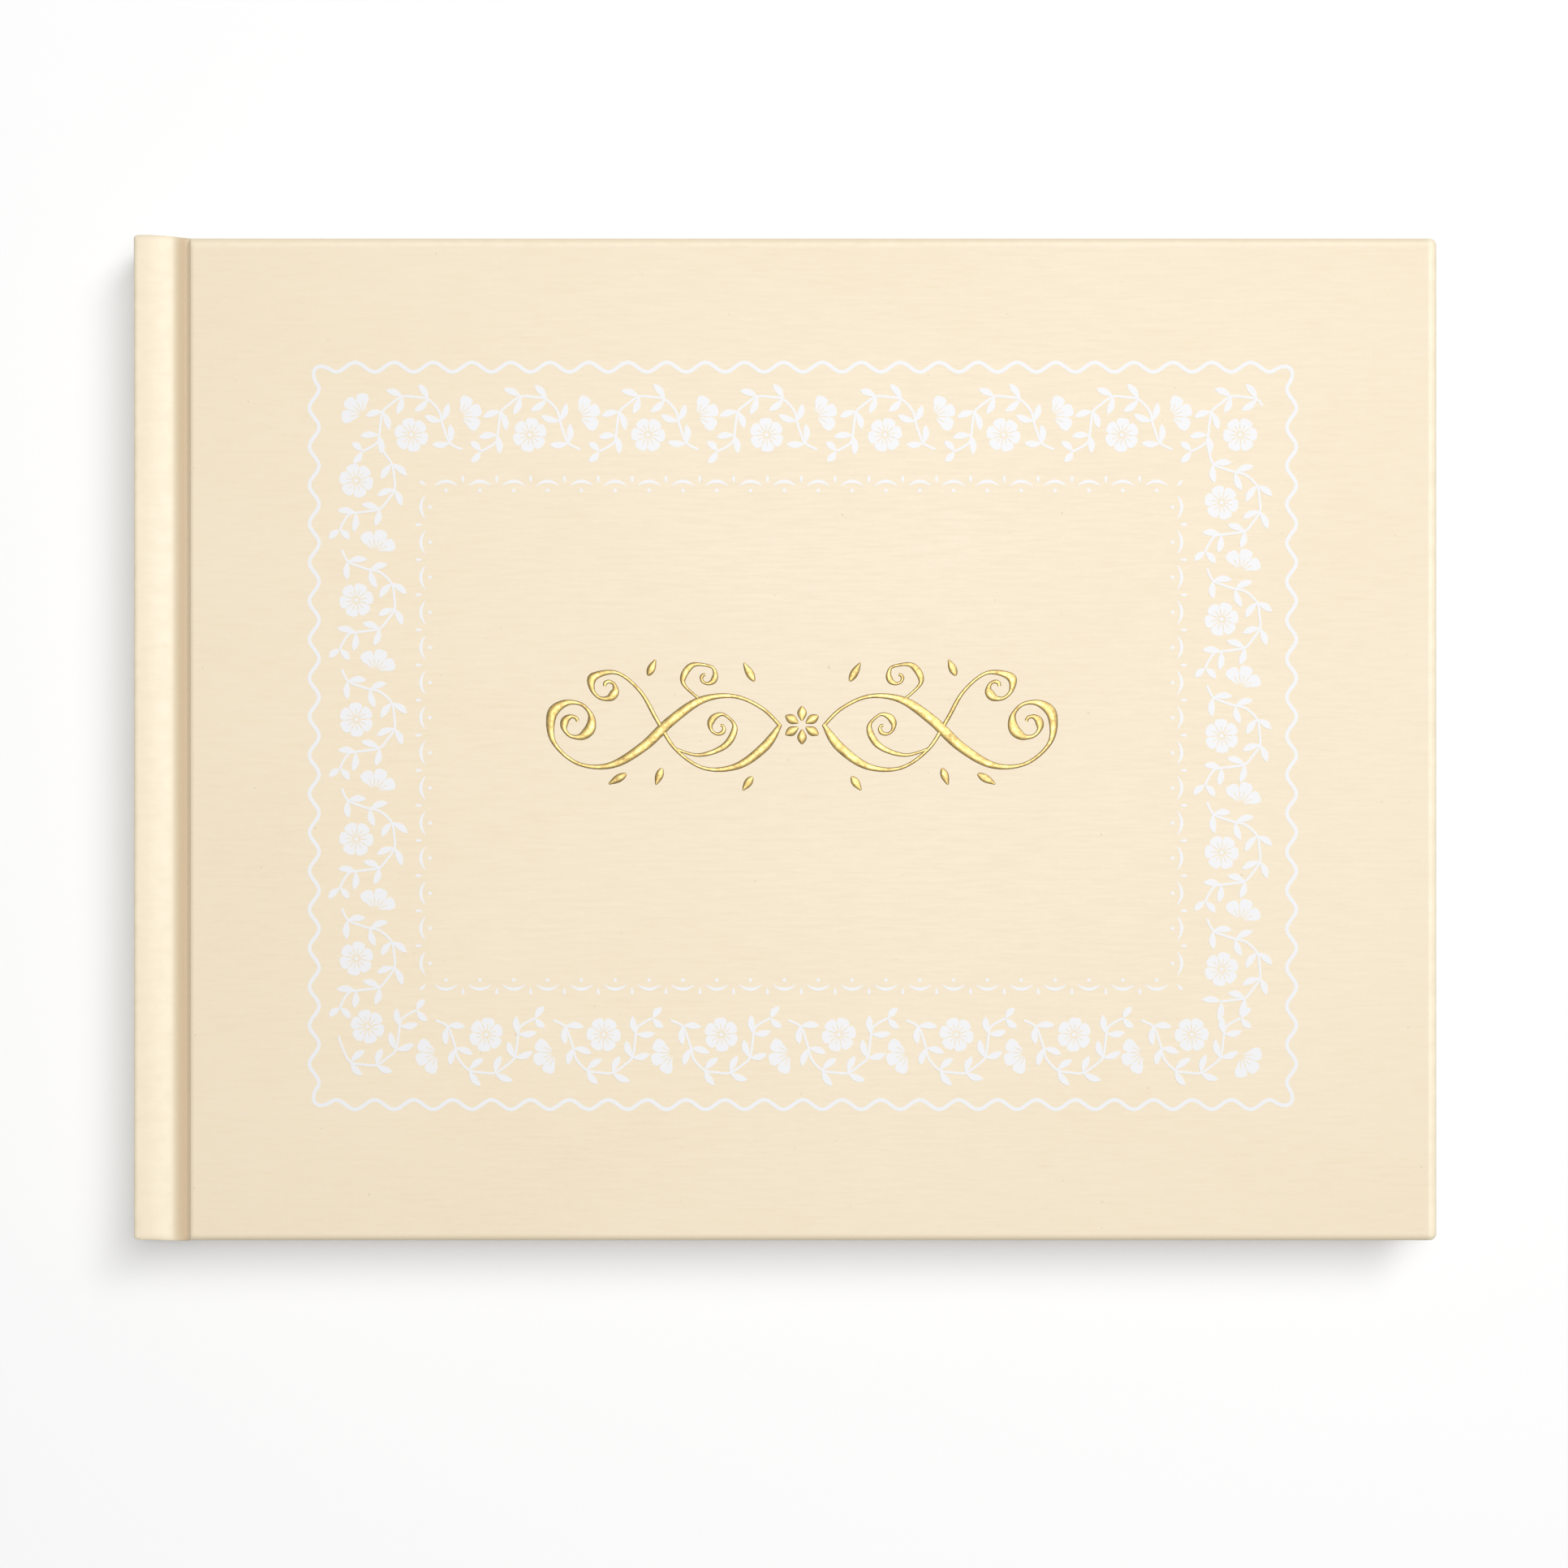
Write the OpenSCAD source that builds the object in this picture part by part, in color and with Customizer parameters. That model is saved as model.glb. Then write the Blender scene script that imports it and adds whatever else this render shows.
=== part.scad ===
// Landscape guest book: a sewn page block in a hard case, with a hinged front and back cover.
// X runs from the spine to the fore-edge, Y from the tail to the head, and Z up to the front cover.
// The origin is the centre of the footprint, on the surface that the book rests on.

/* [Case] */
// Width over all, from the outside of the spine to the fore-edge of the covers
book_w = 279.4; // [180:0.2:320]
// Height of the covers, from tail to head
cover_h = 214.4; // [150:0.2:260]
// Thickness of the closed book
book_t = 20; // [14:0.5:40]
// Thickness of the cover boards
board_t = 2.4; // [1.6:0.1:3]
// Thickness of the covering material
covering_t = 0.3; // [0.2:0.05:0.4]
// Width of the covering turned in behind the boards
turn_in = 15; // [8:1:20]
// How far the spine strip stands past the covers at the head and at the tail
spine_proud = 0.5; // [0:0.1:1]

/* [Joint] */
// Distance from the outside of the spine to the edge of a board
joint_w = 12.1; // [10:0.1:16]
// Width of the pressed groove beside the board
groove_w = 2.8; // [2:0.1:4]
// How far the shoulder of the joint has dropped where the groove starts
shoulder_drop = 0.9; // [0.5:0.1:1.2]
// Width of the mull that is glued to each board
mull_lap = 18; // [12:1:25]

/* [Page block] */
// Number of folded sections
section_count = 8; // [8:1:8]
// Number of folded sheets in a section
sheets_per_section = 4; // [2:1:6]
// Thickness of one leaf of paper
leaf_t = 0.18; // [0.1:0.01:0.19]
// Margin of the covers past the pages at the head and at the tail
square_h = 3; // [2:0.5:5]
// Margin of the covers past the pages at the fore-edge
square_f = 4; // [2:0.5:6]
// Thickness of the endpapers
endpaper_t = 0.2; // [0.15:0.01:0.25]
// Diameter of the sewing thread
thread_d = 0.3; // [0.2:0.05:0.35]
// Number of stitches along the back of each section
stitch_count = 5; // [3:1:7]
// Radius of the bead of each headband
headband_r = 0.9; // [0.6:0.1:1.2]

/* [Hidden] */
$fn = 48;
// Air between neighbours that move apart
air = 0.05;
// Clearance of a cover's inner end round the rounded edge of the spine
hinge_gap = 0.3;
// Length that makes a cut run past the face it opens
over = 1;
// A cover's layers are its covering, its board, the turned-in covering and the pasted endpaper
panel_t = 2 * covering_t + board_t + endpaper_t;
// The spine's edges are half round, about the hinge axes
roll_r = panel_t / 2;
spine_h = cover_h + 2 * spine_proud;
joint_start = 2 * roll_r + hinge_gap;
// Back of the page block, from the hollow of the spine inward
lining_x = 2 * roll_r + 0.1;
lining_t = 0.2;
mull_x = lining_x + lining_t;
mull_t = 0.2;
thread_x = mull_x + mull_t + 0.2;
fold_x = thread_x + 0.2;
page_end = book_w - square_f;
page_h = cover_h - 2 * square_h;
mull_h = page_h - 28;
// Height of the page block, between the pasted endpapers
block_low = panel_t;
block_high = book_t - panel_t;
leaves_low = block_low + air + endpaper_t;
leaves_high = block_high - air - endpaper_t;
section_pitch = (leaves_high - leaves_low) / section_count;
section_t = section_pitch - air;
leaf_pitch = section_t / (2 * sheets_per_section);
stitch_run = page_h / stitch_count;
stitch_len = 0.7 * stitch_run;
board_end = book_w - covering_t;

ivory = [0.96, 0.9, 0.78];
paper_white = [0.98, 0.96, 0.92];
greyboard = [0.62, 0.6, 0.56];

// Box between two corners
module block(low, high) {
    translate(low) cube(high - low);
}

// A box across the height of the book, centred on it
module sheet(x_low, x_high, height, z_low, z_high) {
    block([x_low, -height / 2, z_low], [x_high, height / 2, z_high]);
}

// The book's centre goes over the origin
module placed() {
    translate([-book_w / 2, 0, 0]) children();
}

// Turns a front part into the same part of the back cover
module as_back() {
    translate([0, 0, book_t]) mirror([0, 0, 1]) children();
}

// An outline in X and Z, drawn out along the height of the book
module along_height(height) {
    translate([0, height / 2, 0]) rotate([90, 0, 0]) linear_extrude(height) children();
}

// Covers -----------------------------------------------------------------------------------------

// Section of the covering from the spine's edge, over the shoulder and down into the groove
module joint_outline() {
    groove_x = joint_w - groove_w;
    shoulder = [
        [joint_start, book_t - 0.05],
        [joint_start + 2.2, book_t - 0.15],
        [groove_x - 1.4, book_t - 0.55 * shoulder_drop],
        [groove_x, book_t - shoulder_drop],
        [groove_x + 1, book_t - board_t]
    ];
    inner = [for (i = [len(shoulder) - 1:-1:0]) shoulder[i] - [0, covering_t]];
    polygon(concat(shoulder, [[joint_w, book_t - board_t], [joint_w, book_t - board_t - covering_t]], inner));
}

// Covering of one cover: face, three turned edges, the joint and the turn-ins
module covering() {
    inside_z = book_t - panel_t + endpaper_t;
    board_x = joint_w;
    window_h = cover_h - 2 * covering_t - 2 * turn_in;
    difference() {
        sheet(board_x - covering_t, book_w, cover_h, inside_z, book_t);
        sheet(board_x, board_end, cover_h - 2 * covering_t, inside_z + covering_t, book_t - covering_t);
        sheet(board_x - over, board_end - turn_in, window_h, inside_z - over, inside_z + covering_t + air);
        sheet(board_x - over, board_x, window_h, inside_z - over, inside_z + covering_t);
    }
    along_height(cover_h) joint_outline();
    for (side = [-1, 1])
        translate([0, side * (cover_h / 2 - covering_t - turn_in / 2), 0])
            sheet(joint_start, board_x, turn_in + 2 * covering_t, inside_z, inside_z + covering_t);
}

module board() {
    sheet(joint_w, board_end, cover_h - 2 * covering_t, book_t - covering_t - board_t, book_t - covering_t);
}

// Gauze glued behind a board, between the turn-ins
module mull_flap() {
    z = book_t - covering_t - board_t;
    sheet(joint_start, joint_w + mull_lap, mull_h, z - covering_t, z - air);
}

// Endpaper pasted inside a cover: it laps over the turn-ins and is sunk between them
module pastedown() {
    z = book_t - panel_t;
    window_low = joint_w + mull_lap + air;
    window_high = board_end - turn_in - air;
    window_h = cover_h - 2 * covering_t - 2 * turn_in - 2 * air;
    difference() {
        union() {
            sheet(joint_start, page_end, page_h, z, z + endpaper_t);
            sheet(window_low, window_high, window_h, z, z + endpaper_t + covering_t);
        }
        sheet(
            window_low + endpaper_t, window_high - endpaper_t, window_h - 2 * endpaper_t,
            z - over, z + covering_t
        );
    }
}

module front_covering() {
    color(ivory) placed() covering();
}

module front_board() {
    color(greyboard) placed() board();
}

module front_mull_flap() {
    color("white") placed() mull_flap();
}

module front_pastedown() {
    color(paper_white) placed() pastedown();
}

module back_covering() {
    color(ivory) placed() as_back() covering();
}

module back_board() {
    color(greyboard) placed() as_back() board();
}

module back_mull_flap() {
    color("white") placed() as_back() mull_flap();
}

module back_pastedown() {
    color(paper_white) placed() as_back() pastedown();
}

// Spine ------------------------------------------------------------------------------------------

// Upright strip with half-round ends, about the two hinge axes
module spine_outline(r) {
    for (z = [roll_r, book_t - roll_r])
        translate([roll_r, z]) circle(r);
    translate([roll_r - r, roll_r]) square([2 * r, book_t - 2 * roll_r]);
}

module spine_covering() {
    board_r = roll_r - covering_t;
    color(ivory) placed() difference() {
        along_height(spine_h) spine_outline(roll_r);
        along_height(spine_h - 2 * covering_t) spine_outline(board_r);
        sheet(roll_r + board_r - air, 2 * roll_r + over, spine_h - 2 * turn_in, roll_r, book_t - roll_r);
    }
}

module spine_board() {
    color(greyboard) placed()
        along_height(spine_h - 2 * covering_t - 2 * air) spine_outline(roll_r - covering_t - air);
}

module spine_lining() {
    color([0.76, 0.66, 0.5]) placed() sheet(lining_x, lining_x + lining_t, page_h, block_low, block_high);
}

module mull() {
    color("white") placed() sheet(mull_x + air, mull_x + mull_t, mull_h, block_low, block_high);
}

// Page block -------------------------------------------------------------------------------------

// One section, counted from the front: folded sheets nested in each other
module section(number) {
    z_low = leaves_high - number * section_pitch + air / 2;
    color(paper_white) placed() for (i = [0:sheets_per_section - 1]) {
        depth = i * leaf_pitch;
        sheet_low = z_low + depth;
        sheet_high = z_low + section_t - depth;
        difference() {
            sheet(fold_x + depth, page_end, page_h, sheet_low, sheet_high);
            sheet(fold_x + depth + leaf_t, page_end + over, page_h + over, sheet_low + leaf_t, sheet_high - leaf_t);
        }
    }
}

module flyleaf() {
    sheet(fold_x, page_end, page_h, block_high - air / 2 - endpaper_t, block_high - air / 2);
}

module front_flyleaf() {
    color(paper_white) placed() flyleaf();
}

module back_flyleaf() {
    color(paper_white) placed() as_back() flyleaf();
}

// Stitches along the back of each section
module sewing_thread() {
    color("ivory") placed() for (row = [1:section_count], stitch = [0:stitch_count - 1]) {
        y = (stitch + 0.5 - stitch_count / 2) * stitch_run;
        z = leaves_high - (row - 0.5) * section_pitch;
        translate([thread_x, y + stitch_len / 2, z]) rotate([90, 0, 0]) cylinder(d = thread_d, h = stitch_len);
    }
}

// Woven bead at one end of the block's back, on a strip that is glued beside the mull
module headband() {
    bead_x = mull_x + mull_t + headband_r - 0.1;
    bead_y = page_h / 2 + air + headband_r;
    color([0.93, 0.88, 0.76]) placed() {
        translate([bead_x, bead_y, block_low + air]) cylinder(r = headband_r, h = block_high - block_low - 2 * air);
        block(
            [mull_x + air, mull_h / 2 + air, block_low + air],
            [mull_x + mull_t, bead_y, block_high - air]
        );
    }
}

module headband_head() {
    headband();
}

module headband_tail() {
    mirror([0, 1, 0]) headband();
}

// Nodes ------------------------------------------------------------------------------------------

front_covering();
front_board();
front_mull_flap();
front_pastedown();
front_flyleaf();
section(1);  // section_01
section(2);  // section_02
section(3);  // section_03
section(4);  // section_04
section(5);  // section_05
section(6);  // section_06
section(7);  // section_07
section(8);  // section_08
spine_covering();
spine_board();
spine_lining();
mull();
sewing_thread();
headband_head();
headband_tail();
back_flyleaf();
back_pastedown();
back_mull_flap();
back_board();
back_covering();
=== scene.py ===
"""Looks of a landscape wedding guest book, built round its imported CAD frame.

Shapes are written in millimetres, with x measured from the back of the spine, y from the middle of the
book towards the head, and z from the surface that the book rests on. make_piece turns them into metres.
"""

import math
import random

import bmesh
import bpy
from mathutils import Matrix, Vector, noise
from mathutils.geometry import tessellate_polygon


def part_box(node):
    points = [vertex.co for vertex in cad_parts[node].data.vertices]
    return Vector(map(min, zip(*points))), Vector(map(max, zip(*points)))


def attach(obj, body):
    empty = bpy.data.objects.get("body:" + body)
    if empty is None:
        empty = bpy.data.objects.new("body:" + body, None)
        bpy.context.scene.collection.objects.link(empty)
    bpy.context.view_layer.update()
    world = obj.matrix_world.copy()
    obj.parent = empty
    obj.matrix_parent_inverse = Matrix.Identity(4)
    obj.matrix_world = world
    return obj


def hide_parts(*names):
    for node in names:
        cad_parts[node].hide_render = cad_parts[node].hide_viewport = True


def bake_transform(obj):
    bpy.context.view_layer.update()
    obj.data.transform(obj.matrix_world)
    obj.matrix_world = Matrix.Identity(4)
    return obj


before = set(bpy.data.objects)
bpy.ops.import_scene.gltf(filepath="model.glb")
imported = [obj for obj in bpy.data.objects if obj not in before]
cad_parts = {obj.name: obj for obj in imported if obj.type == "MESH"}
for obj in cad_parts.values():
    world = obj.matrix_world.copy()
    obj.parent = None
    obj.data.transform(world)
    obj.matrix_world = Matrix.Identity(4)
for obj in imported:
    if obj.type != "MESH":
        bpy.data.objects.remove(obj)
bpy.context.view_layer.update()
random.seed(11)

# Sizes from the frame

MM = 0.001


def box_mm(node):
    """Lowest and highest corner of a CAD node, in this script's millimetres."""
    low, high = (Vector(corner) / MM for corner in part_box(node))
    spine = Vector((SPINE_X, 0, 0))
    return low - spine, high - spine


SPINE_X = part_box("spine_covering")[0][0] / MM
SPINE = box_mm("spine_covering")
COVER = box_mm("front_covering")
BOARD = box_mm("front_board")
PASTEDOWN = box_mm("front_pastedown")
BOOK_T = SPINE[1].z
BOOK_W = COVER[1].x
SPINE_HALF = SPINE[1].y
COVER_HALF = COVER[1].y
PANEL_H = BOOK_T - COVER[0].z
ROLL_R = SPINE[1].x / 2
JOINT_W = BOARD[0].x
SECTIONS = [f"section_{number:02d}" for number in range(1, 9)]

# Covering: its thickness and its turned-in width
CLOTH_T = 0.3
TURN_IN = 15.0
# Rounding of a cover's edges and corners, and of the spine's edges and ends
EDGE_R = 1.15
CORNER_R = 1.5
SPINE_R = 1.0
SPINE_END_R = 0.7
# How far the spine's flat back lies inside its outline
SPINE_TUCK = 0.019
# Width of the painted highlight strip along a cover's edges
HIGHLIGHT_W = 0.6
# Where the cover's sheet starts at the spine, and where it swings freely
STRIP_START = ROLL_R - 0.3
# The covers sit towards the tail, and are a little higher than in CAD
COVER_SHIFT = -0.42
SHIFT_START, SHIFT_RUN = 4.0, 7.0
FACE_HALF = COVER_HALF + 0.25
# The joint's end, where its outline steps back to the cover's
STEP_END, STEP_W = JOINT_W + 0.1, 0.5
GROOVE_DEPTH = 2.5
# Folded sheets in a section, the thickness of a leaf, and the distance between two
SHEETS = 4
LEAF_T = 0.17
LEAF_PITCH = 0.2
# Width of the part of a leaf that bends at its fold
BEND_END = 7.5

# Meshes


def new_object(name, data):
    """An object in the scene."""
    made = bpy.data.objects.new(name, data)
    bpy.context.scene.collection.objects.link(made)
    return made


def make_piece(name, verts, faces, material, sharp=35, indices=None):
    """A mesh object from points in millimetres."""
    mesh = bpy.data.meshes.new(name)
    mesh.from_pydata([((x + SPINE_X) * MM, y * MM, z * MM) for x, y, z in verts], [], faces)
    for m in material if isinstance(material, list) else [material]:
        mesh.materials.append(m)
    if indices:
        mesh.polygons.foreach_set("material_index", indices)
    clean(mesh)
    mesh.shade_smooth()
    mesh.set_sharp_from_angle(angle=math.radians(sharp))
    piece = new_object(name, mesh)
    return piece


def clean(mesh):
    """Joins points that meet, drops faces without area and turns every face outward."""
    work = bmesh.new()
    work.from_mesh(mesh)
    bmesh.ops.remove_doubles(work, verts=work.verts, dist=1e-7)
    bmesh.ops.dissolve_degenerate(work, edges=work.edges, dist=1e-8)
    bmesh.ops.recalc_face_normals(work, faces=work.faces)
    work.to_mesh(mesh)
    work.free()


def thicken(piece, thickness):
    """Gives a sheet its thickness, on its inner side."""
    modifier = piece.modifiers.new("thickness", "SOLIDIFY")
    modifier.thickness = thickness * MM
    modifier.offset = -1
    modifier.use_even_offset = True
    solid = piece.evaluated_get(bpy.context.evaluated_depsgraph_get())
    mesh = bpy.data.meshes.new_from_object(solid)
    piece.modifiers.clear()
    piece.data = mesh


def share(value):
    """A value, held between 0 and 1."""
    return min(1, max(0, value))


def quarter_turn(count):
    """Angles of a quarter of a circle, with so many steps."""
    return [math.pi / 2 * i / count for i in range(count + 1)]


def ring_angles(count):
    """Angles of a whole circle."""
    return [2 * math.pi * i / count for i in range(count)]


def toward(angle):
    """The direction at an angle, one millimetre long."""
    return Vector((math.cos(angle), math.sin(angle)))


def tangent(line, i, closed=False):
    """The direction of a line at one of its points."""
    n = len(line)
    a = line[(i - 1) % n if closed else max(i - 1, 0)]
    b = line[(i + 1) % n if closed else min(i + 1, n - 1)]
    return Vector((b[0] - a[0], b[1] - a[1])).normalized()


def dot(radius, count, down=0.0):
    """A round outline, which may sit lower."""
    return [radius * toward(a) - Vector((0, down)) for a in ring_angles(count)]


def grid_faces(rows, columns, closed=False):
    """Quads between neighbouring rows of points."""
    faces = []
    for r in range(rows - 1):
        for c in range(columns if closed else columns - 1):
            a, b = r * columns + c, r * columns + (c + 1) % columns
            faces.append((a, b, b + columns, a + columns))
    return faces


def ease(t):
    """Runs from 0 to 1 with level ends."""
    return t * t * (3 - 2 * t)


def smooth_curve(points, x):
    """Height at x of a smooth curve through a list of (x, height), which goes on level at both ends."""
    x = min(max(x, points[0][0]), points[-1][0])
    neighbours = zip([points[0], *points], [*points[1:], points[-1]])
    slopes = [(b[1] - a[1]) / (b[0] - a[0]) for a, b in neighbours]
    for (x0, y0), (x1, y1), m0, m1 in zip(points, points[1:], slopes, slopes[1:]):
        if x <= x1:
            w, t = x1 - x0, (x - x0) / (x1 - x0)
            return y0 + (y1 - y0) * ease(t) + w * t * (1 - t) * (m0 * (1 - t) - m1 * t)


def tube_faces(rows, around):
    """Faces of a tube of rows of points, with its two ends."""
    last = rows * around - 1
    ends = [tuple(range(around)), tuple(last - i for i in range(around))]
    return grid_faces(rows, around, closed=True) + ends


def moved(faces, by):
    """Faces whose points come so much later in the list."""
    return [tuple(by + i for i in face) for face in faces]


def steps(low, high, size):
    """Even steps of about that size from low to high."""
    count = max(1, round((high - low) / size))
    return [low + (high - low) * i / count for i in range(count + 1)]


# Materials


# The Mix node's sockets for colours: two inputs and the result
MIX_A, MIX_B, MIX_RESULT = 6, 7, 2


class Material:
    """A Principled material whose colour, roughness and relief come from procedural nodes."""

    def __init__(self, name, **sockets):
        self.data = bpy.data.materials.new(name)
        self.data.use_nodes = True
        self.tree = self.data.node_tree
        self.shader = self.tree.nodes["Principled BSDF"]
        self.feed(self.shader, {socket.replace("_", " "): value for socket, value in sockets.items()})
        self.place = self.add("TexCoord", {}).outputs["Object"]

    def feed(self, node, inputs):
        """Gives a node its inputs: each is a constant or another node's output."""
        for socket, value in inputs.items():
            if isinstance(value, bpy.types.NodeSocket):
                self.tree.links.new(value, node.inputs[socket])
            else:
                node.inputs[socket].default_value = value

    def add(self, kind, inputs, **settings):
        node = self.tree.nodes.new(f"ShaderNode{kind}")
        for setting, value in settings.items():
            setattr(node, setting, value)
        self.feed(node, inputs)
        return node

    def texture(self, kind, per_mm, inputs, **settings):
        """A texture with so many waves per millimetre: one number, or three for X, Y and Z."""
        scale = per_mm if isinstance(per_mm, tuple) else (per_mm,) * 3
        mapping = self.add("Mapping", {"Vector": self.place, "Scale": [waves / MM for waves in scale]})
        inputs = {"Vector": mapping.outputs["Vector"], "Scale": 1.0, **inputs}
        return self.add(kind, inputs, **settings).outputs["Fac"]

    def noise(self, per_mm, detail=3.0, roughness=0.5, distortion=0.0):
        inputs = {"Detail": detail, "Roughness": roughness, "Distortion": distortion}
        return self.texture("TexNoise", per_mm, inputs)

    def wave(self, per_mm, direction, distortion):
        """Even bands along one direction."""
        return self.texture("TexWave", per_mm, {"Distortion": distortion}, bands_direction=direction)

    def stored(self, name):
        """A value kept on the piece's points."""
        return self.add("Attribute", {}, attribute_name=name).outputs["Fac"]

    def ramp(self, factor, low, high, start=0.0, end=1.0):
        """Maps a factor between start and end to values from low to high."""
        inputs = {"Value": factor, "From Min": start, "From Max": end, "To Min": low, "To Max": high}
        return self.add("MapRange", inputs).outputs["Result"]

    def product(self, a, b):
        return self.add("Math", {0: a, 1: b}, operation="MULTIPLY").outputs["Value"]

    def mix(self, factor, a, b):
        """A colour between a and b. Each is a colour or another node's output."""
        a, b = [(*colour, 1.0) if isinstance(colour, tuple) else colour for colour in (a, b)]
        node = self.add("Mix", {"Factor": factor, MIX_A: a, MIX_B: b}, data_type="RGBA")
        return node.outputs[MIX_RESULT]

    def finish(self, colour, rough=None, *reliefs):
        """Links the colour, the roughness, and reliefs on top of each other: a grain and its depth."""
        self.feed(self.shader, {"Base Color": colour})
        if rough:
            self.feed(self.shader, {"Roughness": rough})
        below = {}
        for grain, depth in reliefs:
            inputs = {"Height": grain, "Strength": 1.0, "Distance": depth * MM, **below}
            below = {"Normal": self.add("Bump", inputs).outputs["Normal"]}
        self.feed(self.shader, below)
        return self.data


# How strongly painted shade darkens the covering in the joint's groove
GROOVE_SHADE_TINT = 0.75


def two_tone(name, grain, colours, spread, rough, relief, **sockets):
    """A material whose colour, roughness and relief all follow one grain."""
    m = Material(name, **sockets)
    strands = m.noise(*grain)
    colour = m.mix(m.ramp(strands, 0.0, 1.0, *spread), *colours)
    return m.finish(colour, m.ramp(strands, *rough), (strands, relief))


def covering_material():
    """Cream coated paper: faint fibres along the width, clouds and specks, with a painted highlight along
    the edges and painted shade in the joint's groove.
    """
    m = Material("cream_covering", Roughness=0.45, Specular_IOR_Level=0.45)
    clouds = m.ramp(m.noise((0.012, 0.02, 0.02), 4.0, 0.6), 0.0, 1.0, 0.3, 0.7)
    colour = m.mix(clouds, (0.655, 0.555, 0.397), (0.672, 0.577, 0.425))
    fibres = m.noise((0.12, 1.3, 1.3), 5.0, 0.65, 0.4)
    colour = m.mix(m.ramp(fibres, 0.0, 0.35, 0.45, 0.75), colour, (0.63, 0.525, 0.365))
    mottle = m.noise((0.7, 0.9, 0.9), 4.0, 0.6)
    colour = m.mix(m.ramp(mottle, 0.0, 0.3, 0.5, 0.8), colour, (0.70, 0.62, 0.48))
    specks = m.noise(0.7, 1.0, 0.3)
    colour = m.mix(m.ramp(specks, 0.0, 0.35, 0.80, 0.84), colour, (0.38, 0.3, 0.18))
    patches = m.ramp(m.noise(0.3, 3.0), 0.55, 0.9, 0.35, 0.65)
    # Painted highlight: a lighter colour in patches along the cover's edges, the spine's edge and the
    # joint's crown
    colour = m.mix(m.product(m.stored("painted_highlight"), patches), colour, (0.80, 0.72, 0.55))
    # Painted shade in the joint's groove: the colour turns darker brown there
    colour = m.mix(m.product(m.stored("groove_shade"), GROOVE_SHADE_TINT), colour, (0.50, 0.38, 0.24))
    return m.finish(colour, m.ramp(fibres, 0.4, 0.52), (fibres, 0.012), (m.noise(4.0, 2.0), 0.006))


def ink_material():
    """White ink, slightly raised and not quite even."""
    m = Material("white_ink", Roughness=0.42, Specular_IOR_Level=0.45)
    cover = m.noise(1.5, 3.0)
    colour = m.mix(m.ramp(cover, 0.0, 1.0, 0.35, 0.7), (0.62, 0.62, 0.632), (0.645, 0.645, 0.654))
    return m.finish(colour, m.ramp(cover, 0.36, 0.5), (m.noise(3.0, 2.0), 0.006))


def foil_material():
    """Gold foil with the small unevenness of the pressed paper under it."""
    m = Material("gold_foil", Metallic=0.5, Roughness=0.35)
    tarnish = m.noise(0.35, 4.0, 0.6)
    colour = m.mix(m.ramp(tarnish, 0.0, 1.0, 0.35, 0.65), (0.235, 0.155, 0.042), (0.40, 0.295, 0.095))
    rough = m.ramp(m.noise(1.2, 3.0), 0.28, 0.44, 0.3, 0.7)
    return m.finish(colour, rough, (m.noise(0.9, 3.0), 0.02), (m.noise(5.0, 2.0), 0.003))


def paper_material(name, light, dark, rough=0.75):
    """Uncoated paper: soft clouds, fibres and a little tooth."""
    m = Material(name, Roughness=rough, Specular_IOR_Level=0.25)
    clouds = m.noise(0.03, 3.0)
    fibres = m.noise((1.5, 0.5, 1.5), 5.0, 0.7, 0.6)
    colour = m.mix(m.ramp(clouds, 0.0, 1.0, 0.3, 0.7), dark, light)
    colour = m.mix(m.ramp(fibres, 0.0, 0.4, 0.5, 0.8), colour, dark)
    return m.finish(colour, m.ramp(fibres, rough - 0.06, rough + 0.08), (fibres, 0.008))


def page_edge_material():
    """The cut edges of the pages, each a little lighter or darker than the next."""
    m = Material("page_edges", Roughness=0.8, Specular_IOR_Level=0.2)
    layers = m.noise((0.004, 0.004, 5.0), 1.0)
    fibres = m.noise(1.2, 4.0, 0.65)
    colour = m.mix(m.ramp(layers, 0.0, 1.0, 0.35, 0.65), (0.78, 0.735, 0.64), (0.88, 0.85, 0.78))
    colour = m.mix(m.ramp(fibres, 0.0, 0.3, 0.5, 0.8), colour, (0.62, 0.57, 0.47))
    return m.finish(colour, m.ramp(fibres, 0.74, 0.88), (fibres, 0.008))


def board_material():
    """Greyboard: pulp flecks and a ragged, layered cut edge."""
    m = Material("greyboard", Roughness=0.9, Specular_IOR_Level=0.2)
    flecks = m.noise((1.4, 1.4, 2.5), 5.0, 0.7)
    layers = m.noise((0.05, 0.05, 3.0), 2.0)
    colour = m.mix(m.ramp(flecks, 0.0, 1.0, 0.3, 0.7), (0.27, 0.25, 0.22), (0.42, 0.40, 0.36))
    colour = m.mix(m.ramp(layers, 0.0, 0.5, 0.45, 0.7), colour, (0.22, 0.2, 0.17))
    return m.finish(colour, m.ramp(flecks, 0.82, 0.96), (flecks, 0.05))


def woven_material(name, light, dark, threads_per_mm, depth):
    """A plain weave: two sets of bands across each other, over soft clouds."""
    m = Material(name, Roughness=0.85, Specular_IOR_Level=0.2, Sheen_Weight=0.3)
    # A wave texture of scale 1 has a band every pi / 10
    n = threads_per_mm * math.pi / 10
    warp = m.wave(n, "Y", 0.6)
    weft = m.wave(n, "Z", 0.6)
    weave = m.product(warp, weft)
    colour = m.mix(m.ramp(weave, 0.0, 1.0), dark, light)
    colour = m.mix(m.ramp(m.noise(0.2), 0.0, 0.3, 0.4, 0.7), colour, dark)
    return m.finish(colour, m.ramp(weave, 0.78, 0.92), (weave, depth))


def band_material(name, light, dark):
    """Silky thread wound round the headband's core."""
    return two_tone(
        name, ((6.0, 6.0, 1.0), 3.0, 0.6), (dark, light), (0.3, 0.7), (0.42, 0.6), 0.02,
        Roughness=0.5, Specular_IOR_Level=0.4, Sheen_Weight=0.4,
    )


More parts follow.
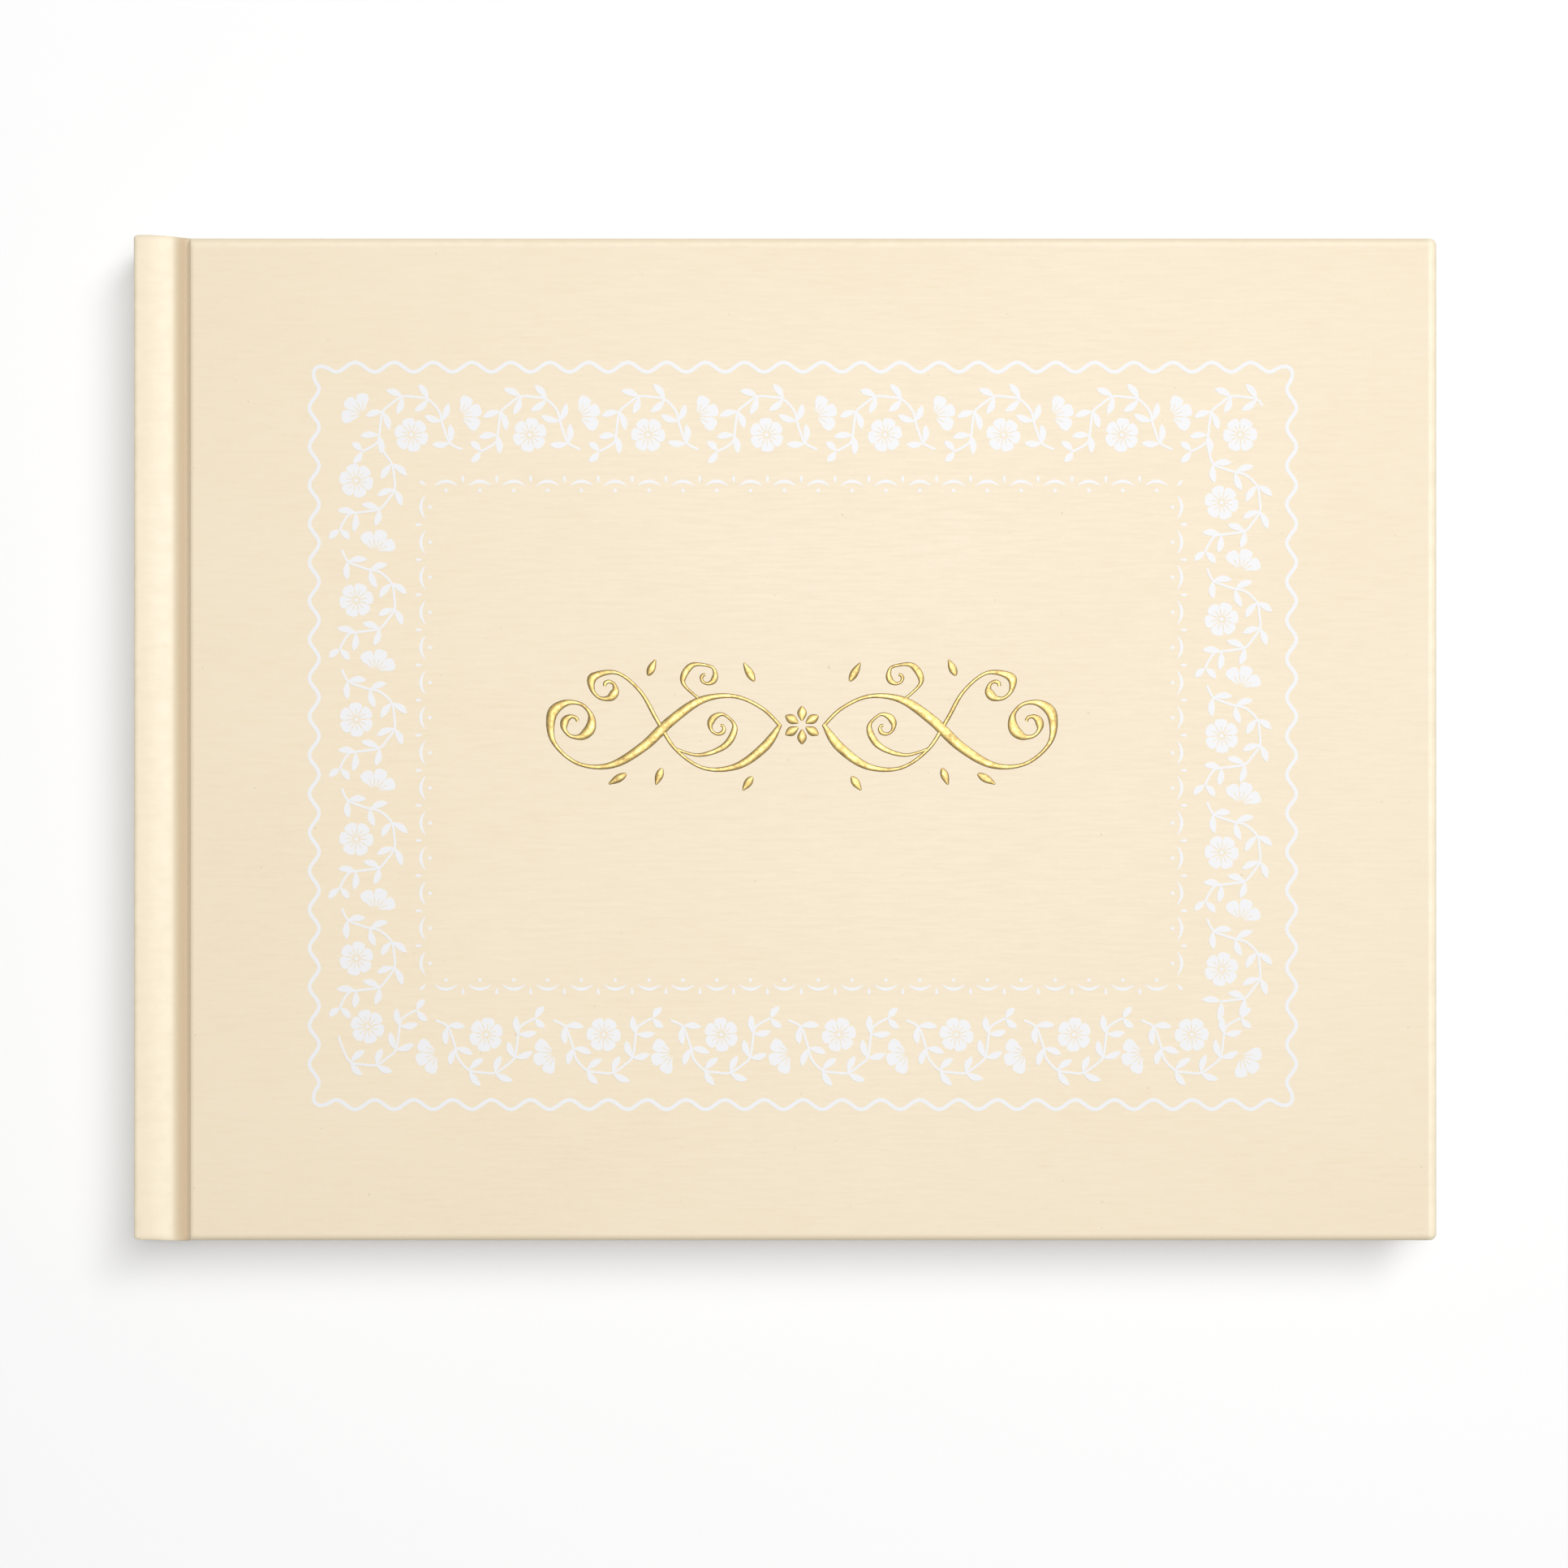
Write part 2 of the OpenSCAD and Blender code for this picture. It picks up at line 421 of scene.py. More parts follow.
def floor_material():
    """A plain pale floor."""
    m = Material("pale_floor", Roughness=0.9, Specular_IOR_Level=0.0)
    return m.finish(m.mix(m.noise(0.002), (0.80, 0.80, 0.80), (0.81, 0.81, 0.81)))


COVERING = covering_material()
INK = ink_material()
FOIL = foil_material()
# Each stroke's rim is coloured dark brown: painted shade of the walls pressed into the covering
FOIL_RIM_SHADE = two_tone(
    "foil_rim_painted_shade", (1.6, 3.0), ((0.09, 0.052, 0.015), (0.20, 0.12, 0.035)), (0.35, 0.65), (0.36, 0.54), 0.008,
    Metallic=0.4, Roughness=0.45,
)
ENDPAPER = paper_material("ivory_endpaper", (0.78, 0.73, 0.62), (0.755, 0.70, 0.59))
PAGES = paper_material("page_paper", (0.82, 0.79, 0.71), (0.80, 0.765, 0.68), 0.8)
PAGE_EDGES = page_edge_material()
KRAFT = paper_material("kraft_lining", (0.42, 0.28, 0.15), (0.33, 0.21, 0.1))
GREYBOARD = board_material()
GAUZE = woven_material("gauze", (0.78, 0.75, 0.68), (0.45, 0.41, 0.33), 1.6, 0.05)
THREAD = woven_material("linen_thread", (0.78, 0.72, 0.6), (0.55, 0.48, 0.36), 6.0, 0.02)
BAND_LIGHT = band_material("band_ivory", (0.82, 0.77, 0.66), (0.66, 0.59, 0.46))
BAND_GOLD = band_material("band_gold", (0.62, 0.45, 0.2), (0.45, 0.31, 0.12))

# Covers

# Height of the covering across the joint, from the rounded edge of the spine to the board
JOINT_CURVE = [
    (STRIP_START, -0.03), (ROLL_R, 0.0), (3.6, -0.1), (5.6, -0.32), (7.2, -0.56), (8.2, -0.74),
    (8.8, -0.94), (9.4, -1.32), (10.0, -1.85), (10.6, -2.26), (11.2, -GROOVE_DEPTH + 0.07),
    (JOINT_W - 0.15, -GROOVE_DEPTH), (JOINT_W - 0.08, -1.6), (JOINT_W, -0.55), (JOINT_W + 0.2, -0.15),
    (JOINT_W + 0.8, 0.0),
]
# From here to the fore-edge a cover has a board, and its underside is flat
GROOVE_X = 11.6
# Unevenness of the face: height, length along X and along Y, and place in the noise
SWELLS = [(0.05, 70, 60, 0.3), (0.015, 9, 9, 2.1)]
# Distance from the spine over which the unevenness begins
SWELL_RUN = 6
# The steep side of the groove, where points are closest, and the distances between points
STEEP_START, STEEP_END = JOINT_W - 0.3, JOINT_W + 1.3
JOINT_STEP, STEEP_STEP, FACE_STEP, ROW_STEP = 0.2, 0.05, 4.0, 0.04


def face_height(x, y):
    """Height of the front cover's face, which isn't quite flat."""
    swell = sum(height * noise.noise((x / dx, y / dy, z)) for height, dx, dy, z in SWELLS)
    return BOOK_T + smooth_curve(JOINT_CURVE, x) + swell * share((x - STRIP_START) / SWELL_RUN)


def outline_half(x):
    """Half the cover's height at x: the joint stands a little past the board, as the spine does."""
    return FACE_HALF + (SPINE_HALF - FACE_HALF) * share((STEP_END - x) / STEP_W)


def shift(x):
    """How far the cover sits towards the tail at x: not at all at the spine."""
    return COVER_SHIFT * share((x - SHIFT_START) / SHIFT_RUN)


def rounding(radius, count):
    """(inset, depth) of points round an edge, from the face to the side."""
    return [(radius * (1 - math.sin(a)), radius * (1 - math.cos(a))) for a in quarter_turn(count)]


def edge_profile():
    """(inset, depth) of the covering's path round an edge, from the face to the turn-in's end."""
    upper = rounding(EDGE_R, 5)
    lower = [(depth, PANEL_H - inset) for inset, depth in upper]
    flat = [(inset, PANEL_H) for inset in (TURN_IN * 0.2, TURN_IN * 0.6, TURN_IN)]
    return [(CORNER_R, 0.0)] + upper + lower + flat


def cover_columns():
    """Places along the width where the cover's points stand: close together over the joint."""
    joint = steps(STRIP_START, STEEP_START, JOINT_STEP) + steps(STEEP_START, STEEP_END, STEEP_STEP)[1:]
    end = BOOK_W - CORNER_R
    return joint + steps(joint[-1], end - HIGHLIGHT_W, FACE_STEP)[1:] + [end]


def cover_rows():
    """Places along the height, from -1 at the tail to 1 at the head."""
    edge = 1 - HIGHLIGHT_W / (FACE_HALF - CORNER_R)
    return [-1.0] + steps(-edge, edge, ROW_STEP) + [1.0]


def cover_ring(inset, depth, columns, rows):
    """One line of points round the tail, the fore-edge and the head, at an inset from the outline."""
    reach = max(inset, CORNER_R)
    limit, half = BOOK_W - reach, FACE_HALF - reach
    arc_r = max(CORNER_R - inset, 0.0)
    tail = [(min(x, limit), inset - outline_half(x)) for x in columns]
    for a in quarter_turn(6)[1:-1]:
        tail.append((limit + arc_r * math.sin(a), -half - arc_r * math.cos(a)))
    fore = [(BOOK_W - inset, half * t) for t in rows]
    head = [(x, -y) for x, y in reversed(tail)]
    ring = []
    for x, y in tail + fore + head:
        top = face_height(x, y)
        under = BOOK_T - PANEL_H if x >= GROOVE_X else top - 2 * CLOTH_T
        ring.append((x, y + shift(x), top - depth * (top - under) / PANEL_H))
    return ring


def cover_skin():
    """Points and faces of a cover's covering: the face, three turned edges and the turn-ins."""
    columns, rows = cover_columns(), cover_rows()
    rings = [cover_ring(inset, depth, columns, rows) for inset, depth in edge_profile()]
    verts = [point for ring in rings for point in ring]
    faces = grid_faces(len(rings), len(rings[0]))
    start = len(verts)
    for t in rows:
        for x in columns:
            y = t * (outline_half(x) - CORNER_R)
            verts.append((x, y + shift(x), face_height(x, y)))
    return verts, faces + moved(grid_faces(len(rows), len(columns)), start)


def flipped(verts):
    """The same points on the back cover."""
    return [(x, y, BOOK_T - z) for x, y, z in verts]


# How strong the painted shade in the joint's groove is, along the width
GROOVE_SHADE = [
    (8.0, 0.0), (9.2, 0.25), (10.2, 0.8), (10.9, 1.3), (11.3, 1.0), (JOINT_W - 0.2, 0.4), (JOINT_W, 0.0),
]
# How strong the painted highlight on the spine's edge and the joint's crown is, along the width
CROWN_HIGHLIGHT = [(0.0, 1.0), (0.6, 0.9), (1.2, 0.4), (2.5, 0.3), (4.0, 0.35), (7.5, 0.65), (9.0, 0.0)]
# How strong the painted highlight is on the cover's fore-edge, head and tail
FORE_HIGHLIGHT, HEAD_HIGHLIGHT, TAIL_HIGHLIGHT = 0.9, 0.4, 0.0


def highlight_at(x, y):
    """How strong the painted highlight on the covering is at a place."""
    edge = CORNER_R + 0.1
    if x < JOINT_W:
        return smooth_curve(CROWN_HIGHLIGHT, x)
    if BOOK_W - x < edge:
        return FORE_HIGHLIGHT
    return HEAD_HIGHLIGHT if FACE_HALF - (y - COVER_SHIFT) < edge else TAIL_HIGHLIGHT


def store_painted_light(piece):
    """Keeps on each point how strong the painted highlight and the painted shade in the groove are there.
    """
    painted_highlight, groove_shade = (piece.data.attributes.new(name, "FLOAT", "POINT") for name in ("painted_highlight", "groove_shade"))
    for i, vertex in enumerate(piece.data.vertices):
        x, y = vertex.co.x / MM - SPINE_X, vertex.co.y / MM
        painted_highlight.data[i].value = highlight_at(x, y)
        groove_shade.data[i].value = smooth_curve(GROOVE_SHADE, x)


def cover_piece(side):
    """A cover's covering, which bends beside the spine's edge."""
    verts, faces = cover_skin()
    if side == "back":
        verts = flipped(verts)
    piece = make_piece(f"{side}_cover_wrap", verts, faces, COVERING, sharp=60)
    store_painted_light(piece)
    thicken(piece, CLOTH_T)
    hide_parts(f"{side}_covering")
    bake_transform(piece)


# A board inside its covering: air at its faces and at the groove, and the share of its height
BOARD_AIR, GROOVE_AIR, BOARD_SHARE = 0.06, 0.5, 0.9985


def board_piece(side):
    """A board with its cut edges slightly crushed, inside the covering."""
    low, high = BOARD
    profile = rounding(EDGE_R - CLOTH_T - 0.05, 4)
    thickness = high.z - low.z - 2 * BOARD_AIR
    profile += [(inset, thickness - depth) for inset, depth in reversed(profile)]
    verts = []
    for inset, depth in profile:
        left, right = low.x + GROOVE_AIR + inset, high.x - BOARD_AIR - inset
        tail, head = low.y + inset, high.y - inset
        corners = [(left, tail), (right, tail), (right, head), (left, head)]
        verts += [(x, y * BOARD_SHARE + COVER_SHIFT, high.z - BOARD_AIR - depth) for x, y in corners]
    if side == "back":
        verts = flipped(verts)
    piece = make_piece(f"{side}_grey_board", verts, tube_faces(len(profile), 4), GREYBOARD)
    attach(piece, f"{side}_cover")
    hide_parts(f"{side}_board")


# The pasted endpaper: width and depth of its slope at the turn-ins, and its thickness
SLOPE_W, SINK, PASTED_T = 1.2, 0.24, 0.15
# Width of the mull's flap under it, and the air behind it
FLAP_W, PASTE_AIR = 26, 0.02


def pastedown_piece(side):
    """Endpaper pasted inside a cover, which shows the edge of the turn-ins under it."""
    low, high = PASTEDOWN
    edge = TURN_IN + CLOTH_T
    start, end, half = low.x + FLAP_W, BOOK_W - edge, COVER_HALF - edge
    slope = [SLOPE_W * i / 2 for i in range(-2, 3)]
    xs = sorted(steps(low.x, high.x, 5) + [x + d for x in (start, end) for d in slope])
    ys = sorted(steps(low.y, high.y, 5) + [sign * (half + d) for sign in (-1, 1) for d in slope])
    verts = []
    for y in ys:
        for x in xs:
            inside = share(min(x - start, end - x, half - abs(y)) / SLOPE_W + 0.5)
            verts.append((x, y + COVER_SHIFT, low.z + PASTE_AIR + SINK * ease(inside)))
    piece = make_piece(f"{side}_pasted_paper", verts, grid_faces(len(ys), len(xs)), ENDPAPER)
    if side == "back":
        for v in piece.data.vertices:
            v.co.z = BOOK_T * MM - v.co.z
        piece.data.flip_normals()
    thicken(piece, -PASTED_T)
    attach(piece, f"{side}_cover")
    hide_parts(f"{side}_pastedown")


# Spine


def spine_outline():
    """The covering's path round the spine in X and Z, from one hinge to the other."""
    top = [(ROLL_R + ROLL_R * math.cos(a), BOOK_T - ROLL_R + ROLL_R * math.sin(a)) for a in quarter_turn(8)]
    top += [(x, BOOK_T - depth) for x, depth in rounding(SPINE_R, 8)]
    return top + [(x, BOOK_T - z) for x, z in reversed(top)]


def spine_stations():
    """(y, inset) of the sections along the spine, which is rounded at both ends."""
    ends = [(SPINE_HALF - inset, depth) for inset, depth in rounding(SPINE_END_R, 5)]
    middle = steps(-ends[0][0], ends[0][0], 6)[1:-1]
    return [(-y, inset) for y, inset in reversed(ends)] + [(y, 0.0) for y in middle] + ends


def spine_piece():
    """Covering round the spine, closed over its ends."""
    outline, stations = spine_outline(), spine_stations()
    verts = []
    for y, inset in stations:
        for x, z in outline:
            centre_z = min(max(z, ROLL_R), BOOK_T - ROLL_R)
            away = Vector((x - ROLL_R, z - centre_z))
            away = away * (1 - inset / max(away.length, 0.1))
            tuck = SPINE_TUCK if x < 0.01 else 0.0
            verts.append((ROLL_R + away.x + tuck, y, centre_z + away.y))
    faces = tube_faces(len(stations), len(outline))
    piece = make_piece("spine_wrap", verts, faces, COVERING, sharp=50)
    store_painted_light(piece)
    thicken(piece, CLOTH_T)
    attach(piece, "book_block")
    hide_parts("spine_covering")


# Pages


# How far a sheet's edges may fall short, at the fore-edge and at the head and tail
SHORT_FORE, SHORT_ENDS = 0.3, 0.2
# Distance between points where a leaf bends, and further out
BEND_STEP, LEAF_STEP = 0.35, 9


def strip_solid(path, y_low, y_high, thickness):
    """Paper along a path in X and Z: its points, its faces, and which of them are cut edges."""
    verts = []
    for i, (x, z) in enumerate(path):
        along = tangent(path, i) * thickness / 2
        for side, y in ((1, y_low), (1, y_high), (-1, y_high), (-1, y_low)):
            verts.append((x - side * along.y, y, z + side * along.x))
    n = len(path)
    return verts, tube_faces(n, 4), [0, 1, 0, 1] * (n - 1) + [1, 1]


def leaf_columns(fold_x, end_x, bends):
    """Places along a leaf from its fold to its fore-edge: close together where it bends."""
    if not bends:
        return [fold_x, end_x]
    free = fold_x + BEND_END + 1
    return steps(fold_x, free, BEND_STEP) + steps(free, end_x, LEAF_STEP)[1:]


def folded_sheet(low, high, depth, bends):
    """One folded sheet of a section: its upper leaf, its fold and its lower leaf."""
    top = high.z - depth - LEAF_T / 2
    bottom = low.z + depth + LEAF_T / 2
    radius = (top - bottom) / 2
    fold_x = low.x + depth + LEAF_T / 2 + radius
    end_top = high.x - random.uniform(0, SHORT_FORE)
    end_bottom = high.x - random.uniform(0, SHORT_FORE)
    upper = [(x, top) for x in reversed(leaf_columns(fold_x, end_top, bends))]
    turn = [math.pi * i / 6 for i in range(1, 6)]
    fold = [(fold_x - radius * math.sin(a), (top + bottom) / 2 + radius * math.cos(a)) for a in turn]
    lower = [(x, bottom) for x in leaf_columns(fold_x, end_bottom, bends)]
    tail = low.y + random.uniform(0, SHORT_ENDS)
    head = high.y - random.uniform(0, SHORT_ENDS)
    return strip_solid(upper + fold + lower, tail, head, LEAF_T)


def section_piece(name, body):
    """A section of folded sheets nested in each other."""
    low, high = box_mm(name)
    bends = body != "book_block"
    verts, faces, cut = [], [], []
    for i in range(SHEETS):
        sheet_verts, sheet_faces, sheet_cut = folded_sheet(low, high, i * LEAF_PITCH, bends)
        faces += moved(sheet_faces, len(verts))
        verts += sheet_verts
        cut += sheet_cut
    piece = make_piece(f"{name}_sheets", verts, faces, [PAGES, PAGE_EDGES], indices=cut)
    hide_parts(name)
    hang(piece, body)


def hang(piece, body):
    """Keeps a piece with the block, or bakes its placement into its points."""
    if body == "book_block":
        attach(piece, body)
        return
    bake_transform(piece)


def flyleaf_piece(side, body):
    """The free half of an endpaper."""
    low, high = box_mm(f"{side}_flyleaf")
    middle = (low.z + high.z) / 2
    path = [(x, middle) for x in leaf_columns(low.x, high.x - 0.1, True)]
    verts, faces, _ = strip_solid(path, low.y + 0.05, high.y - 0.05, LEAF_T)
    piece = make_piece(f"{side}_free_endpaper", verts, faces, ENDPAPER)
    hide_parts(f"{side}_flyleaf")
    hang(piece, body)


# Headband: the bead's radius, its thread's relief and turns, rows in a turn and points in a row
BEAD_R, BEAD_RELIEF, BEAD_TURNS, BEAD_ROWS, BEAD_POINTS = 0.9, 0.12, 22, 4, 14
# Its strip of cloth: how far from the book's middle it starts, and its thickness
SKIRT_START, SKIRT_T = 90.3, 0.12


def bead_shape(low, high, centre):
    """Points, faces and colours of the bead, which is wound with thread in two colours."""
    rows = BEAD_ROWS * BEAD_TURNS + 1
    verts = []
    for row in range(rows):
        z = low.z + (high.z - low.z) * row / (rows - 1)
        r = (BEAD_R - BEAD_RELIEF) + BEAD_RELIEF * abs(math.sin(math.pi * row / BEAD_ROWS))
        verts += [(*(centre + r * toward(a)), z) for a in ring_angles(BEAD_POINTS)]
    indices = [row // BEAD_ROWS % 2 for row in range(rows - 1) for _ in range(BEAD_POINTS)]
    return verts, tube_faces(rows, BEAD_POINTS), indices + [0, 0]


def headband_piece(end):
    """A bead wound with thread, on its strip of cloth."""
    low, high = box_mm(f"headband_{end}")
    sign = 1 if end == "head" else -1
    centre_y = (high.y if sign > 0 else low.y) - sign * BEAD_R
    verts, faces, indices = bead_shape(low, high, Vector((high.x - BEAD_R, centre_y)))
    piece = make_piece(f"{end}_band", verts, faces, [BAND_LIGHT, BAND_GOLD], indices=indices)
    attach(piece, "book_block")
    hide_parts(f"headband_{end}")
    y_low, y_high = sorted((sign * SKIRT_START, centre_y))
    path = [(low.x + SKIRT_T, z) for z in steps(low.z, high.z, 1.5)]
    verts, faces, _ = strip_solid(path, y_low, y_high, SKIRT_T)
    skirt = make_piece(f"{end}_band_cloth", verts, faces, GAUZE)
    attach(skirt, "book_block")


# Printed border

# Places on the cover are given in millimetres from the middle of the book
MIDDLE_X = BOOK_W / 2
# How far the ink stands over the covering, and how deep its underside lies in it
INK_T, INK_ROOT = 0.035, -0.03


def on_face(x, y, lift):
    """A point over the cover's face, given from the middle of the book."""
    return (x + MIDDLE_X, y, face_height(x + MIDDLE_X, y - COVER_SHIFT) + lift)


class Print:
    """Collects flat shapes and makes one thin closed film of them."""

    def __init__(self):
        self.verts, self.faces = [], []

    def patch(self, outline, lift=INK_T):
        """A closed outline, filled."""
        base, n = len(self.verts), len(outline)
        for level in (lift, INK_ROOT):
            self.verts += [on_face(x, y, level) for x, y in outline]
        for a, b, c in tessellate_polygon([[Vector((x, y, 0)) for x, y in outline]]):
            self.faces.append((base + a, base + b, base + c))
            self.faces.append((base + n + c, base + n + b, base + n + a))
        self.faces += moved(grid_faces(2, n, closed=True), base)

    def ribbon(self, path, widths, closed=False, lift=INK_T):
        """A line along a path, with a width at each point."""
        base, n = len(self.verts), len(path)
        for i, (x, y) in enumerate(path):
            along = tangent(path, i, closed) * widths[i] / 2
            for side, level in ((1, lift), (-1, lift), (-1, INK_ROOT), (1, INK_ROOT)):
                self.verts.append(on_face(x - side * along.y, y + side * along.x, level))
        faces = grid_faces(n + 1, 4, closed=True) if closed else tube_faces(n, 4)
        self.faces += [tuple(base + v % (4 * n) for v in face) for face in faces]

    def piece(self, name):
        made = make_piece(name, self.verts, self.faces, INK, sharp=30)
        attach(made, "front_cover")


def spline(points, count):
    """A smooth line through points, with count steps between each two."""
    line, last = [], len(points) - 1
    for i in range(last):
        p0, p1, p2, p3 = (Vector(points[min(max(i + k, 0), last)]) for k in range(-1, 3))
        square, cube = 2 * p0 - 5 * p1 + 4 * p2 - p3, 3 * p1 - p0 - 3 * p2 + p3
        for k in range(count):
            t = k / count
            p = 0.5 * (2 * p1 + (p2 - p0) * t + square * t**2 + cube * t**3)
            line.append((p.x, p.y))
    return line + [tuple(points[-1])]


class Spot:
    """A place on the cover with its own axes: along the growth of the vine, and towards its arch."""

    def __init__(self, centre, growth, arch):
        self.centre, self.growth, self.arch = Vector(centre), Vector(growth), Vector(arch)

    def at(self, t, n):
        p = self.centre + self.growth * t + self.arch * n
        return (p.x, p.y)

    def outline(self, points):
        return [self.at(t, n) for t, n in points]


# Sizes of the printed motifs
STEM_W = 0.5
LEAF_LONG, TIP_LEAF_LONG, LEAF_WIDE, LEAF_BOW = 4.0, 3.1, 1.45, 0.06
# Angle of a leaf from its pair's middle, and how much angles and lengths differ
LEAF_SPREAD, LEAF_TURN, LEAF_GROWTH = 46, 4, 0.25
# Steps by which shapes that overlap lie over each other
SIDE_LIFT, LEAF_LIFT, PAIR_LIFT = 0.016, 0.008, 0.004
SLIT_W = 0.22
FLOWER_R, FLOWER_HALF, FLOWER_ROOT, FLOWER_SLIT = 3.65, math.radians(29.2), 0.75, 2.35
BUD_R = 0.45
HALF_ROOT, HALF_SLIT, HALF_NOTCH = 0.9, 2.9, 0.26
# Petals of a half flower: heading from its middle, radius and half the angle that it fills
HALF_PETALS = ((-46, 4.6, 23.2), (0, 4.9, 22.2), (47, 4.7, 24))

# One vine, from its root over the flower to its tip: (t, n) along its growth and towards its arch
VINE = [
    (-10.8, -3.1), (-8.3, -1.8), (-7.2, 0.7), (-6.5, 2.9), (-5.9, 5.2), (-3.6, 7.6), (-1.0, 8.1),
    (1.9, 8.2), (4.5, 6.5), (6.1, 5.0), (6.6, 2.4), (6.9, -0.1), (7.3, -1.6), (9.0, -2.8), (10.5, -3.5),
]
# Each pair of leaves: its place among the vine's points, and the angle halfway between its leaves
LEAF_PAIRS = [(1, 46), (3, 64), (5, 8), (7, -24), (9, -62), (11, -52), (14, -4)]


def leaf_outline(base, angle, length, width, side):
    """A pointed leaf that leaves its base at an angle and bows a little towards the stem."""
    cos, sin = math.cos(angle), math.sin(angle)
    points = []
    for edge in (1, -1):
        for i in range(9):
            s = i / 9 if edge > 0 else 1 - i / 9
            across = edge * width / 2 * math.sin(math.pi * s**1.15) ** 0.8
            across += side * LEAF_BOW * length * math.sin(math.pi * s)
            along = s * length
            points.append((base[0] + along * cos - across * sin, base[1] + along * sin + across * cos))
    return points


def draw_vine(film, spot, lift, root=(), first=0, last=len(VINE) - 1):
    """A stem with pairs of leaves between two of the vine's points, with its own root if need be."""
    stem = spline([*root, *VINE[first : last + 1]], 5)
    film.ribbon(spot.outline(stem), [STEM_W] * len(stem), lift=lift)
    for node, middle in LEAF_PAIRS:
        if not first <= node <= last:
            continue
        for side in (1, -1):
            angle = middle + side * LEAF_SPREAD + random.uniform(-LEAF_TURN, LEAF_TURN)
            length = TIP_LEAF_LONG if node == len(VINE) - 1 else LEAF_LONG
            length += random.uniform(-LEAF_GROWTH, LEAF_GROWTH)
            leaf = leaf_outline(VINE[node], math.radians(angle), length, LEAF_WIDE, side)
            film.patch(spot.outline(leaf), lift + LEAF_LIFT + PAIR_LIFT * side)


def petal(radius, half_angle, heading, root, slit, notch=0.2):
    """A petal with a rounded end, a thin slit up its middle and half a slit on each side."""
    points = []
    for i in range(17):
        s = i / 8 - 1
        r = radius * (1 - 0.05 * s * s - notch * s**6)
        points.append((r * math.cos(half_angle * s), r * math.sin(half_angle * s)))
    side = [(slit, 0.0), (slit - 0.3, SLIT_W / 2), (root, SLIT_W / 2)]
    cos, sin = math.cos(half_angle), math.sin(half_angle)
    left = [(along * cos + off * sin, along * sin - off * cos) for along, off in side]
    middle = [(along, off) for along, off in reversed(side)] + [(along, -off) for along, off in side[1:]]
    points += left + middle + [(u, -v) for u, v in reversed(left)]
    turn = Matrix.Rotation(heading, 2)
    return [tuple(turn @ Vector(point)) for point in points]


def draw_flower(film, spot, turn):
    """Six petals round a dot."""
    for a in ring_angles(6):
        film.patch(spot.outline(petal(FLOWER_R, FLOWER_HALF, turn + a, FLOWER_ROOT, FLOWER_SLIT)))
    film.patch(spot.outline(dot(BUD_R, 12)))


def draw_half_flower(film, spot, turn=161):
    """Three petals of a flower that is seen from its side."""
    for offset, radius, half in HALF_PETALS:
        angles = math.radians(half), math.radians(turn + offset)
        film.patch(spot.outline(petal(radius, *angles, HALF_ROOT, HALF_SLIT, HALF_NOTCH)))


LEFT, RIGHT, UP, DOWN = (-1, 0), (1, 0), (0, 1), (0, -1)
# Each side of the border: first flower, step to the next, count, growth and arch
SIDES = {
    "head": ((-80.1, 64.8), (25.37, 0), 8, LEFT, UP),
    "spine": ((-91.9, 55.0), (0, -25.6), 5, DOWN, RIGHT),
    "fore": ((93.5, 50.3), (0, -25.0), 5, DOWN, RIGHT),
    "tail": ((-89.3, -63.7), (25.2, 0), 8, RIGHT, DOWN),
}
# Vines cut short at the corners: own root, first and last point
SHORT_VINES = {
    ("head", 7): (((-4.8, 6.2),), 5, 14),
    ("fore", 0): (((-13.4, -3.1), (-11.0, -2.7)), 1, 14),
    ("spine", 0): (((-8.7, 4.8), (-6.2, 5.9)), 5, 14),
    ("tail", 0): (((-6.2, 2.0), (-5.2, 4.9)), 5, 14),
    ("fore", 4): ((), 0, 11),
}
# Vines without a half flower at their root
BARE_ROOTS = [("head", 7), ("spine", 0), ("fore", 0), ("tail", 0)]
# Flowers that sit off their row
SHIFTS = {("tail", 0): (-0.2, 1.7)}
# Place of the half flower beside a flower
HALF_FLOWER = (-10.3, 4.0)
# Half flowers at the corners: place and heading
CORNER_FLOWERS = [((-90.4, 69.1), 139), ((97.4, -68.3), -40)]


def draw_border(film):
    """The flowers and vines of all four sides."""
    for level, (name, (first, step, count, growth, arch)) in enumerate(SIDES.items()):
        for k in range(count):
            place = Vector(first) + Vector(step) * k + Vector(SHIFTS.get((name, k), (0, 0)))
            spot = Spot(place, growth, arch)
            draw_flower(film, spot, 0.4 * k + 0.3)
            draw_vine(film, spot, INK_T + SIDE_LIFT * (level + 1), *SHORT_VINES.get((name, k), ()))
            if (name, k) not in BARE_ROOTS:
                draw_half_flower(film, Spot(spot.at(*HALF_FLOWER), growth, arch))
    for place, heading in CORNER_FLOWERS:
        draw_half_flower(film, Spot(place, RIGHT, UP), heading)


# The wavy line round the flowers
WAVE_LOW, WAVE_HIGH = (-100.9, -78.7), (108.5, 79.3)
WAVE_AMPLITUDE, WAVE_WIDTH, WAVE_CORNER = 1.05, 0.8, 4.6
WAVES_ACROSS, WAVES_UP = 24, 18


